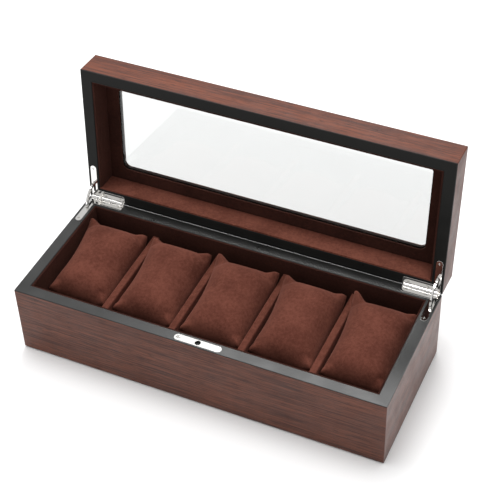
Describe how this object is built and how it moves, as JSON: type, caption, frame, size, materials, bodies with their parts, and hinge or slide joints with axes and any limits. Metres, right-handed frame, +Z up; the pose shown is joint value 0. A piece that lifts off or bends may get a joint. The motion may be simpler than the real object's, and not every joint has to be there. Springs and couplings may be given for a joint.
{
  "type": "watch box",
  "caption": "Rectangular veneered watch box with a glazed lid on quadrant hinges, shown open, with a suede-lined interior divided into slots that hold loose pillows.",
  "frame": {"origin": "centre of the flat face of the felt pad that the box stands on", "axes": "+X along the length, to the right seen from the front; +Y from the front to the hinged back; +Z up"},
  "size_m": [0.32, 0.1625, 0.1933],
  "materials": {
    "veneer": "satin red-brown veneer with fine straight grain along the length",
    "black_lacquer": "satin black lacquer on board",
    "board": "plain fibreboard",
    "felt": "pressed felt",
    "suede_lining": "napped faux suede",
    "suede_divider": "napped faux suede on board",
    "suede_pillow": "napped faux suede over soft filling",
    "nickel": "polished nickel plate",
    "steel": "lacquered over",
    "magnet": "dull nickel-coated magnet",
    "glass": "clear, polished"
  },
  "bodies": {
    "base": {"base_back_lining": "suede_lining", "base_back_veneer": "veneer", "base_back_wall": "black_lacquer", "base_bottom_panel": "board", "base_felt_pad": "felt", "base_floor_lining": "suede_lining", "base_front_lining": "suede_lining", "base_front_veneer": "veneer", "base_front_wall": "black_lacquer", "base_left_lining": "suede_lining", "base_left_veneer": "veneer", "base_left_wall": "black_lacquer", "base_right_lining": "suede_lining", "base_right_veneer": "veneer", "base_right_wall": "black_lacquer", "catch_magnet": "magnet", "catch_plate": "nickel", "catch_screws": "nickel", "divider_1": "suede_divider", "divider_2": "suede_divider", "divider_3": "suede_divider", "divider_4": "suede_divider", "hinge_left_base_leaf": "nickel", "hinge_left_base_screws": "nickel", "hinge_left_pin": "nickel", "hinge_right_base_leaf": "nickel", "hinge_right_base_screws": "nickel", "hinge_right_pin": "nickel"},
    "hinge_left_arm": {"hinge_left_arm": "nickel"},
    "lid": {"hinge_left_lid_leaf": "nickel", "hinge_left_lid_screws": "nickel", "hinge_right_lid_leaf": "nickel", "hinge_right_lid_screws": "nickel", "lid_back_lining": "suede_lining", "lid_back_veneer": "veneer", "lid_back_wall": "black_lacquer", "lid_catch_strike": "steel", "lid_front_lining": "suede_lining", "lid_front_veneer": "veneer", "lid_front_wall": "black_lacquer", "lid_glass": "glass", "lid_left_lining": "suede_lining", "lid_left_veneer": "veneer", "lid_left_wall": "black_lacquer", "lid_right_lining": "suede_lining", "lid_right_veneer": "veneer", "lid_right_wall": "black_lacquer", "lid_top_back_rail": "black_lacquer", "lid_top_front_rail": "black_lacquer", "lid_top_left_rail": "black_lacquer", "lid_top_right_rail": "black_lacquer", "lid_top_veneer": "veneer", "lid_window_liner": "suede_lining"},
    "hinge_right_arm": {"hinge_right_arm": "nickel"},
    "pillow_1": {"pillow_1": "suede_pillow"},
    "pillow_2": {"pillow_2": "suede_pillow"},
    "pillow_3": {"pillow_3": "suede_pillow"},
    "pillow_4": {"pillow_4": "suede_pillow"},
    "pillow_5": {"pillow_5": "suede_pillow"}
  },
  "joints": [
    {"name": "lid_hinge", "type": "hinge", "parent": "base", "child": "lid", "pos_m": [0, 0.06372, 0.06615], "axis": [-1, 0, 0], "range_deg": [-94.3, 0]},
    {"name": "arm_left_slide_round", "type": "hinge", "parent": "base", "child": "hinge_left_arm", "pos_m": [-0.155, 0.06372, 0.06615], "axis": [-1, 0, 0], "range_deg": [-47.15, 0]},
    {"name": "arm_right_slide_round", "type": "hinge", "parent": "base", "child": "hinge_right_arm", "pos_m": [0.155, 0.06372, 0.06615], "axis": [-1, 0, 0], "range_deg": [-47.15, 0]},
    {"name": "pillow_1_lift", "type": "slide", "parent": "base", "child": "pillow_1", "axis": [0, 0, 1], "range_m": [0, 0.07]},
    {"name": "pillow_2_lift", "type": "slide", "parent": "base", "child": "pillow_2", "axis": [0, 0, 1], "range_m": [0, 0.07]},
    {"name": "pillow_3_lift", "type": "slide", "parent": "base", "child": "pillow_3", "axis": [0, 0, 1], "range_m": [0, 0.07]},
    {"name": "pillow_4_lift", "type": "slide", "parent": "base", "child": "pillow_4", "axis": [0, 0, 1], "range_m": [0, 0.07]},
    {"name": "pillow_5_lift", "type": "slide", "parent": "base", "child": "pillow_5", "axis": [0, 0, 1], "range_m": [0, 0.07]}
  ],
  "couplings": [
    {"joint": "arm_left_slide_round", "follows": "lid_hinge", "ratio": 0.5},
    {"joint": "arm_right_slide_round", "follows": "lid_hinge", "ratio": 0.5}
  ]
}
